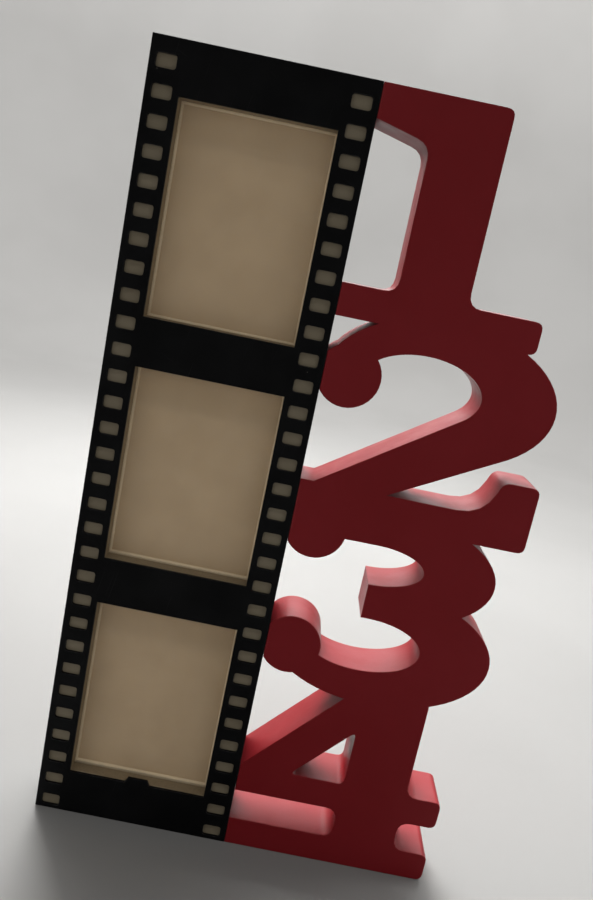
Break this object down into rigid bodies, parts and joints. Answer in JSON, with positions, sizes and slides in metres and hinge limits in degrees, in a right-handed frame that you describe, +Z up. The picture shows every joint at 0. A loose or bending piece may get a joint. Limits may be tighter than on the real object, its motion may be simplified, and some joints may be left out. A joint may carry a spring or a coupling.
{
  "type": "film strip photo frame",
  "caption": "Free-standing photo frame: a black film strip with blank photo windows and turn-button backs, beside a red board of stacked slab-serif numerals.",
  "frame": {"origin": "on the base, in the middle of the whole width and of the thickness", "axes": "+Z up along the strip, +Y from the front face to the back, +X across the front from the strip to the numerals"},
  "size_m": [0.1692, 0.021, 0.302],
  "materials": {
    "film_black": "satin",
    "cream_paint": "matt paint",
    "black_paint": "satin paint",
    "clear_sheet": "clear, glossy",
    "mat_board": "matt",
    "photo_card": "matt",
    "hardboard": "smooth, bare",
    "zinc_steel": "zinc plated",
    "red_paint": "satin paint",
    "beech": "bare"
  },
  "bodies": {
    "frame": {"film_sheet": "film_black", "face_board": "cream_paint", "left_stile": "black_paint", "right_stile": "black_paint", "top_rail": "black_paint", "upper_cross_rail": "black_paint", "lower_cross_rail": "black_paint", "bottom_rail": "black_paint", "upper_clear_cover": "clear_sheet", "middle_clear_cover": "clear_sheet", "lower_clear_cover": "clear_sheet", "upper_mat": "mat_board", "middle_mat": "mat_board", "lower_mat": "mat_board", "upper_photo_card": "photo_card", "middle_photo_card": "photo_card", "lower_photo_card": "photo_card", "upper_back_panel": "hardboard", "middle_back_panel": "hardboard", "lower_back_panel": "hardboard", "top_pivot_screw": "zinc_steel", "upper_pivot_screw": "zinc_steel", "lower_pivot_screw": "zinc_steel", "bottom_pivot_screw": "zinc_steel", "numeral_board": "red_paint", "dowel_1": "beech", "dowel_2": "beech", "dowel_3": "beech", "dowel_4": "beech", "dowel_5": "beech", "dowel_6": "beech"},
    "top_button": {"top_turn_button": "zinc_steel"},
    "upper_button": {"upper_turn_button": "zinc_steel"},
    "lower_button": {"lower_turn_button": "zinc_steel"},
    "bottom_button": {"bottom_turn_button": "zinc_steel"}
  },
  "joints": [
    {"name": "top_button_turn", "type": "hinge", "parent": "frame", "child": "top_button", "pos_m": [-0.04455, 0.00365, 0.2915], "axis": [0, 1, 0], "range_deg": [-95, 95]},
    {"name": "upper_button_turn", "type": "hinge", "parent": "frame", "child": "upper_button", "pos_m": [-0.04455, 0.00365, 0.19825], "axis": [0, 1, 0], "continuous": true},
    {"name": "lower_button_turn", "type": "hinge", "parent": "frame", "child": "lower_button", "pos_m": [-0.04455, 0.00365, 0.10375], "axis": [0, 1, 0], "continuous": true},
    {"name": "bottom_button_turn", "type": "hinge", "parent": "frame", "child": "bottom_button", "pos_m": [-0.04455, 0.00365, 0.0105], "axis": [0, 1, 0], "range_deg": [-95, 95]}
  ]
}
